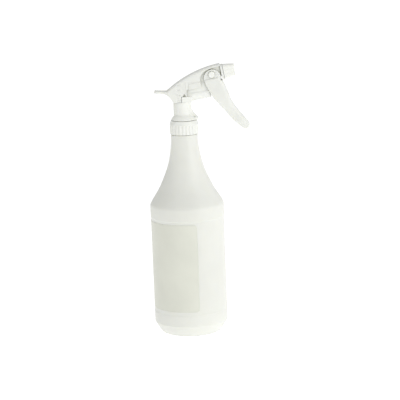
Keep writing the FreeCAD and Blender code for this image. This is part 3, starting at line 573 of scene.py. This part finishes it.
def helical_ridge(root, crest, start, sink):
    """A thread ridge whose two ends run out into the wall."""
    steps = int(thread_turns * thread_segments)
    section = [(-1, thread_root / 2), (0, thread_root / 2), (1, thread_crest / 2),
               (1, -thread_crest / 2), (0, -thread_root / 2), (-1, -thread_root / 2)]
    vertices = []
    for step in range(steps + 1):
        share = step / steps
        angle = 2 * math.pi * thread_turns * share
        taper = min(1.0, share * 12, (1 - share) * 12)
        taper = math.sin(taper * math.pi / 2)
        rise = start + thread_pitch * thread_turns * share
        for out, up in section:
            radius = root - sink if out < 0 else root + (crest - root) * taper * out
            vertices.append((radius * math.cos(angle), radius * math.sin(angle), rise + up))
    size = len(section)
    faces = []
    for step in range(steps):
        for row in range(size):
            nxt = (row + 1) % size
            a, b = step * size, (step + 1) * size
            faces.append((a + row, b + row, b + nxt, a + nxt))
    faces.append(tuple(range(size)))
    faces.append(tuple(reversed(range(steps * size, steps * size + size))))
    return vertices, faces


def joined(*parts):
    vertices, faces = [], []
    for part_vertices, part_faces in parts:
        first = len(vertices)
        vertices += part_vertices
        faces += [tuple(first + i for i in face) for face in part_faces]
    return vertices, faces


def bottle_shell():
    """The blow-moulded bottle: rounded steps, sweeping shoulder, threaded neck, pushed-up base."""
    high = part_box("bottle")[1]
    rim = high.z / MM
    outer = high.x / MM
    panel = outer - panel_recess
    foot = outer - foot_band_recess
    ring_outer = foot - heel_width
    ring_inner = ring_outer - ring_width
    shoulder_top = rim - neck_height
    shares = [
        (0.00, 1.000), (0.045, 0.981), (0.114, 0.861), (0.23, 0.633), (0.354, 0.447),
        (0.476, 0.284), (0.60, 0.157), (0.74, 0.066), (0.875, 0.016), (1.00, 0.000),
    ]
    sweep = swept([
        (neck_root_radius + (outer - neck_root_radius) * out,
         shoulder_start + (shoulder_top - shoulder_start) * up)
        for up, out in shares])
    heel = swept([
        (ring_outer, 0.0),
        ((ring_outer + foot + heel_bulge) / 2, (heel_height - heel_bulge) / 2),
        (foot, heel_height)], 6)
    outside = rounded([
        (0.0, pushup_height, 0), (pushup_radius, pushup_height, pushup_round),
        (ring_inner, 0.0, ring_inner_round), (ring_outer, 0.0, ring_outer_round)])[:-3]
    outside += heel[1:-1]
    wall = [
        (foot, heel_height, heel_round),
        (foot, panel_bottom - panel_step, panel_round),
        (panel, panel_bottom, panel_round),
        (panel, panel_top, panel_round),
        (outer, panel_top + panel_step, panel_round),
        (outer, shoulder_start, 0),
    ]
    outside += rounded([heel[-2] + (0,)] + wall)[1:]
    outside += sweep[1:-1]
    bore = neck_radius - neck_wall
    top = [
        sweep[-1] + (rim_round,),
        (neck_radius, shoulder_top + neck_root_round, neck_root_round),
        (neck_radius, rim, rim_round),
        (bore, rim, rim_round),
    ]
    outside += rounded([sweep[-2] + (0,)] + top + [(bore, shoulder_top, 0)])[1:-1]
    inside = [(bore, shoulder_top)]
    inside += [(r - body_wall, z) for r, z in reversed(sweep[:-1])]
    inside += [(panel - body_wall, panel_top), (panel - body_wall, heel_height + body_wall)]
    inside += [(r - body_wall, z + body_wall) for r, z in reversed(heel[:-1])]
    inside += [(ring_inner, body_wall), (pushup_radius, pushup_height + body_wall),
               (0.0, pushup_height + body_wall)]
    shell = lathed(outside + inside, bottle_segments)
    start = rim - thread_drop
    thread = helical_ridge(neck_radius, neck_radius + thread_depth, start, ridge_sink)
    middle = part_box("closure")[0].z / MM + bead_rise
    bead = lathed(rounded([
        (neck_radius - bead_round, middle - bead_half_root, 0),
        (neck_radius + bead_reach, middle - bead_half_crest, bead_round),
        (neck_radius + bead_reach, middle + bead_half_crest, bead_round),
        (neck_radius - bead_round, middle + bead_half_root, 0)]), bead_segments)
    vertices, faces = joined(shell, thread, bead)
    return piece("bottle_shell", mesh_from(vertices, faces, "bottle_shell"), "bottle")


def label_sheet():
    """The wrapped film: a thin sheet with rounded corners, standing off the panel by its thickness."""
    low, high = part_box("label")
    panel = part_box("bottle")[1].x / MM - panel_recess
    bottom, top = low.z / MM, high.z / MM
    nearest = min(abs(math.atan2(v.co.y, v.co.x)) for v in nodes["label"].data.vertices)
    half = math.pi - nearest
    corner = [label_corner * (1 - math.cos(math.radians(a))) for a in range(0, 91, 10)]
    straight = top - bottom - 2 * label_corner
    heights = sorted(
        {bottom + rise for rise in corner}
        | {top - rise for rise in corner}
        | {bottom + label_corner + straight * k / label_rows for k in range(label_rows + 1)})
    columns = label_columns
    skins = []
    for radius in (panel + label_backing, panel + label_thickness):
        rows = []
        for z in heights:
            depth = max(label_corner - (z - bottom), label_corner - (top - z), 0.0)
            inset = label_corner - math.sqrt(max(label_corner ** 2 - depth ** 2, 0.0))
            reach = half - inset / radius
            rows.append([
                (radius * math.cos(math.pi + reach * (2 * k / columns - 1)),
                 radius * math.sin(math.pi + reach * (2 * k / columns - 1)), z)
                for k in range(columns + 1)])
        skins.append(rows)
    vertices = [v for rows in skins for row in rows for v in row]
    width = columns + 1
    size = len(heights) * width
    faces = []
    for row in range(len(heights) - 1):
        for k in range(columns):
            a = row * width + k
            faces.append((a, a + width, a + width + 1, a + 1))
            faces.append((size + a, size + a + 1, size + a + width + 1, size + a + width))
    border = list(range(width))
    border += [row * width + columns for row in range(1, len(heights))]
    border += [(len(heights) - 1) * width + k for k in range(columns - 1, -1, -1)]
    border += [row * width for row in range(len(heights) - 2, 0, -1)]
    for a, b in zip(border, border[1:] + border[:1]):
        faces.append((a, b, size + b, size + a))
    mesh = mesh_from(vertices, faces, "label_sheet")
    return piece("label_sheet", mesh, "label")


# ================================================================ geometry nodes

class Growth:
    """A geometry node tree with named inputs."""

    def __init__(self, name, inputs):
        self.tree = bpy.data.node_groups.new(name, "GeometryNodeTree")
        self.tree.interface.new_socket("Geometry", in_out="INPUT", socket_type="NodeSocketGeometry")
        self.ids = {}
        for label, kind in inputs.items():
            socket = self.tree.interface.new_socket(label, in_out="INPUT", socket_type=kind)
            self.ids[label] = socket.identifier
        self.tree.interface.new_socket("Geometry", in_out="OUTPUT", socket_type="NodeSocketGeometry")
        self.start = self.tree.nodes.new("NodeGroupInput")
        self.end = self.tree.nodes.new("NodeGroupOutput")

    def add(self, kind, settings, **inputs):
        node = self.tree.nodes.new(kind)
        for key, value in settings.items():
            setattr(node, key, value)
        for key, value in inputs.items():
            socket = node.inputs[key.replace("_", " ")]
            if isinstance(value, bpy.types.NodeSocket):
                self.tree.links.new(value, socket)
            else:
                socket.default_value = value
        return node

    def close(self, geometry):
        painted = self.add("GeometryNodeSetMaterial", {}, Geometry=geometry,
                           Material=self.start.outputs["Material"])
        self.tree.links.new(painted.outputs["Geometry"], self.end.inputs["Geometry"])

    def grown(self, seed, name, **values):
        """Run the tree on a seed mesh and return the result as a plain mesh."""
        holder = bpy.data.objects.new(name, seed)
        bpy.context.scene.collection.objects.link(holder)
        modifier = holder.modifiers.new(name, "NODES")
        modifier.node_group = self.tree
        for key, value in values.items():
            modifier[self.ids[key.replace("_", " ")]] = value
        bpy.context.view_layer.update()
        graph = bpy.context.evaluated_depsgraph_get()
        mesh = bpy.data.meshes.new_from_object(holder.evaluated_get(graph))
        bpy.data.objects.remove(holder)
        mesh.name = name
        return mesh


def turned_copies():
    """Copies of a slice set round the upright axis and joined into one ring."""
    tree = Growth("turned copies", {"Copies": "NodeSocketInt", "Material": "NodeSocketMaterial"})
    copies = tree.start.outputs["Copies"]
    points = tree.add("GeometryNodeMeshLine", {"mode": "OFFSET"}, Count=copies, Offset=(0.0, 0.0, 0.0))
    index = tree.add("GeometryNodeInputIndex", {}).outputs[0]
    share = tree.add("ShaderNodeMath", {"operation": "DIVIDE"})
    tree.tree.links.new(index, share.inputs[0])
    tree.tree.links.new(copies, share.inputs[1])
    angle = tree.add("ShaderNodeMath", {"operation": "MULTIPLY"})
    tree.tree.links.new(share.outputs[0], angle.inputs[0])
    angle.inputs[1].default_value = 2 * math.pi
    turn = tree.add("ShaderNodeCombineXYZ", {}, Z=angle.outputs[0])
    placed = tree.add("GeometryNodeInstanceOnPoints", {}, Points=points.outputs["Mesh"],
                      Instance=tree.start.outputs["Geometry"], Rotation=turn.outputs[0])
    real = tree.add("GeometryNodeRealizeInstances", {}, Geometry=placed.outputs["Instances"])
    merged = tree.add("GeometryNodeMergeByDistance", {}, Geometry=real.outputs["Geometry"], Distance=0.000003)
    tree.close(merged.outputs["Geometry"])
    return tree


def wound_wire():
    """A round wire wound into a coil that stands on its first end."""
    floats = {name: "NodeSocketFloat" for name in ("Radius", "Length", "Turns", "Wire")}
    tree = Growth("wound wire", {**floats, "Material": "NodeSocketMaterial"})
    outs = tree.start.outputs
    spiral = tree.add("GeometryNodeCurveSpiral", {}, Resolution=48, Rotations=outs["Turns"],
                      Start_Radius=outs["Radius"], End_Radius=outs["Radius"], Height=outs["Length"])
    ring = tree.add("GeometryNodeCurvePrimitiveCircle", {"mode": "RADIUS"}, Resolution=16,
                    Radius=outs["Wire"])
    wire = tree.add("GeometryNodeCurveToMesh", {}, Curve=spiral.outputs["Curve"],
                    Profile_Curve=ring.outputs["Curve"], Fill_Caps=True)
    real = tree.add("GeometryNodeRealizeInstances", {}, Geometry=wire.outputs["Mesh"])
    tree.close(real.outputs["Geometry"])
    return tree


def closure_ring():
    """The closure, made from one groove's slice and its copies."""
    low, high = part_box("closure")
    outer = max(math.hypot(v.co.x, v.co.y) for v in nodes["closure"].data.vertices) / MM
    bottom, top = low.z / MM, high.z / MM
    band_top = bottom + closure_band_height
    groove_top = band_top - groove_radius
    rows = rounded([
        (closure_bore_radius, bottom, closure_mouth_round),
        (outer, bottom, edge_round),
        (outer, band_top, closure_shoulder_round),
        (outer - closure_taper, top, closure_top_round),
        (closure_hole_radius, top, edge_round),
        (closure_hole_radius, top - closure_roof, closure_inner_round),
        (closure_bore_radius, top - closure_roof, closure_roof_round),
    ], 6)
    outline = []
    for (r0, z0), (r1, z1) in zip(rows, rows[1:] + rows[:1]):
        pieces = 1
        if min(r0, r1) > outer - 2:
            pieces = max(1, int(math.hypot(r1 - r0, z1 - z0) / closure_division))
        outline += [(r0 + (r1 - r0) * k / pieces, z0 + (z1 - z0) * k / pieces) for k in range(pieces)]
    columns = groove_columns
    step_angle = 2 * math.pi / groove_count
    vertices = []
    for column in range(columns + 1):
        angle = step_angle * (column / columns - 0.5)
        for r, z in outline:
            vertices.append((*grooved(r, z, angle, outer, groove_top), z))
    rows_count = len(outline)
    faces = []
    for column in range(columns):
        a, b = column * rows_count, (column + 1) * rows_count
        for row in range(rows_count):
            nxt = (row + 1) % rows_count
            faces.append((a + row, b + row, b + nxt, a + nxt))
    seed = bpy.data.meshes.new("closure_slice")
    seed.from_pydata([Vector(v) * MM for v in vertices], [], faces)
    turn = Matrix.Rotation(step_angle / 2, 4, "Z")
    seed.transform(turn)
    mesh = turned_copies().grown(seed, "closure_ring", Copies=groove_count,
                                 Material=paints["closure_plastic"].material)
    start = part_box("bottle")[1].z / MM - thread_drop - (thread_root + thread_crest) / 2 - thread_gap
    thread = helical_ridge(closure_bore_radius, closure_bore_radius - thread_depth, start, -ridge_sink)
    inner = mesh_from(*thread, "closure_thread")
    work = bmesh.new()
    work.from_mesh(mesh)
    work.from_mesh(inner)
    work.to_mesh(mesh)
    work.free()
    return piece("closure_ring", cleaned(mesh), "closure")


def grooved(radius, z, angle, outer, groove_top):
    """Where a point of the closure's outline goes once the slice's one groove is pressed in."""
    if radius < outer - groove_depth - 1.2:
        return radius * math.cos(angle), radius * math.sin(angle)
    centre = outer - groove_depth + groove_radius
    across = radius * math.sin(angle)
    above = max(0.0, z - groove_top)
    depth_left = groove_radius ** 2 - across ** 2 - above ** 2
    pressed = 0.0
    if depth_left > 0:
        pressed = max(0.0, radius * math.cos(angle) - (centre - math.sqrt(depth_left)))
    past_edge = math.hypot(across, above) - groove_radius
    lip = groove_lip * math.exp(-(past_edge / groove_lip_reach) ** 2)
    scale = (radius - pressed - lip) / radius
    return radius * math.cos(angle) * scale, radius * math.sin(angle) * scale


def coil(name, node, wire, turns, travel):
    """A coil spring in place of a node, wound from one end of it."""
    tilt = Vector(joints["nozzle_turn"]["axis"]).normalized()
    points = [v.co for v in nodes[node].data.vertices]
    along = [p.dot(tilt) for p in points]
    middle = sum(points, Vector()) / len(points)
    axis_point = middle - tilt * middle.dot(tilt)
    radius = max((p - tilt * p.dot(tilt) - axis_point).length for p in points) - wire * MM
    length = max(along) - min(along) - 2 * wire * MM
    seed = bpy.data.meshes.new("seed")
    mesh = wound_wire().grown(seed, name, Radius=radius, Length=length, Turns=turns, Wire=wire * MM,
                              Material=paints["spring_steel"].material)
    base = axis_point + tilt * (min(along) + wire * MM)
    turn = Vector((0, 0, 1)).rotation_difference(tilt).to_matrix().to_4x4()
    mesh.transform(Matrix.Translation(base) @ turn)
    made = piece(name, cleaned(mesh, 0.0000002), node)
    full = max(along) - min(along)
    (full - travel) / full
    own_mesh(made)
    return made


# ================================================================ softened solids

def softened(name, node, voxel, passes):
    """The node's own shape with every edge rounded, as a moulding's are."""
    mesh = cleaned(nodes[node].data.copy(), 0.000005)
    holder = bpy.data.objects.new(name, mesh)
    bpy.context.scene.collection.objects.link(holder)
    net = holder.modifiers.new("net", "REMESH")
    net.mode = "VOXEL"
    net.voxel_size = voxel * MM
    net.use_smooth_shade = True
    ease = holder.modifiers.new("ease", "SMOOTH")
    ease.factor = 0.5
    ease.iterations = passes
    bpy.context.view_layer.update()
    graph = bpy.context.evaluated_depsgraph_get()
    made = bpy.data.meshes.new_from_object(holder.evaluated_get(graph))
    bpy.data.objects.remove(holder)
    made.name = name
    return piece(name, made, node)


bottle_shell()
label_sheet()
closure_ring()
for name, node, net_size, passes in mouldings:
    softened(name, node, net_size, passes)
piston_travel = joints["piston_slide"]["range_m"][1]
ball_travel = joints["outlet_ball_lift"]["range_m"][1]
coil("return_coil", "return_spring", return_spring_wire, return_spring_turns,
     piston_travel)
coil("outlet_coil", "outlet_spring", outlet_spring_wire, outlet_spring_turns,
     ball_travel)

for node, shown in nodes.items():
    shown.data.materials.clear()
    shown.data.materials.append(paints[slot_name(node)].material)


# ================================================================ floor, light and camera

def floor_sheet():
    reach = floor_reach
    mesh = bpy.data.meshes.new("floor")
    mesh.from_pydata([(-reach, -reach, 0), (reach, -reach, 0), (reach, reach, 0), (-reach, reach, 0)],
                     [], [(0, 1, 2, 3)])
    floor = bpy.data.objects.new("floor", mesh)
    bpy.context.scene.collection.objects.link(floor)
    paint = Paint("pale floor")
    cloud = paint.noise(2.0, 3.0, 0.5)
    paint.set(
        Base_Color=paint.mix(cloud, colour(0.34, 0.34, 0.34), colour(0.38, 0.38, 0.38)),
        Roughness=0.85 + cloud * 0.1,
        Emission_Strength=floor_glow,
    )
    paint.shader.inputs["Emission Color"].default_value = colour(1.0, 1.0, 1.0)
    mesh.materials.append(paint.material)


def soft_light(name, place, aim, power, size, tint):
    data = bpy.data.lights.new(name, "AREA")
    data.shape = "SQUARE"
    data.energy = power
    data.size = size
    data.color = tint
    lamp = bpy.data.objects.new(name, data)
    bpy.context.scene.collection.objects.link(lamp)
    lamp.location = place
    lamp.rotation_euler = (Vector(aim) - Vector(place)).to_track_quat("-Z", "Y").to_euler()


def surroundings():
    world = bpy.data.worlds.new("studio")
    world.use_nodes = True
    tree = world.node_tree
    back = tree.nodes["Background"]
    place = tree.nodes.new("ShaderNodeTexCoord")
    split = tree.nodes.new("ShaderNodeSeparateXYZ")
    blend = tree.nodes.new("ShaderNodeValToRGB")
    blend.color_ramp.elements[0].position = 0.0
    blend.color_ramp.elements[0].color = colour(sky_low, sky_low, sky_low)
    blend.color_ramp.elements[1].position = sky_top
    blend.color_ramp.elements[1].color = colour(sky_high, sky_high, sky_high)
    tree.links.new(place.outputs["Generated"], split.inputs[0])
    tree.links.new(split.outputs["Z"], blend.inputs["Fac"])
    tree.links.new(blend.outputs["Color"], back.inputs["Color"])
    side = tree.nodes.new("ShaderNodeMath")
    side.operation = "MULTIPLY_ADD"
    side.inputs[1].default_value = sky_side_gain
    side.inputs[2].default_value = sky_strength
    tree.links.new(split.outputs["X"], side.inputs[0])
    tree.links.new(side.outputs[0], back.inputs["Strength"])
    bpy.context.scene.world = world


def studio_camera():
    data = bpy.data.cameras.new("studio_camera")
    data.lens = camera_lens
    data.sensor_width = camera_sensor
    camera = bpy.data.objects.new("studio_camera", data)
    bpy.context.scene.collection.objects.link(camera)
    bpy.context.scene.camera = camera
    azimuth, pitch = math.radians(camera_azimuth), math.radians(camera_pitch)
    pan, roll = math.radians(camera_pan), math.radians(camera_roll)
    level = math.cos(pitch)
    forward = Vector((math.sin(pan) * level, math.cos(pan) * level, -math.sin(pitch)))
    right = Vector((math.cos(pan), -math.sin(pan), 0.0))
    up = right.cross(forward)
    right, up = (right * math.cos(roll) + up * math.sin(roll),
                 up * math.cos(roll) - right * math.sin(roll))
    turn = Matrix.Rotation(azimuth, 3, "Z")
    axes = [turn @ v for v in (right, up, -forward)]
    basis = Matrix(axes).transposed().to_4x4()
    stand = turn @ Vector((0.0, -camera_distance, camera_height))
    camera.matrix_world = Matrix.Translation(stand) @ basis


floor_sheet()
soft_light("key", key_place, light_aim, key_power, key_size, (1.0, 1.0, 1.0))
soft_light("fill", fill_place, light_aim, fill_power, fill_size, (1.0, 1.0, 0.97))
surroundings()
studio_camera()
bpy.context.scene.view_settings.view_transform = "Standard"
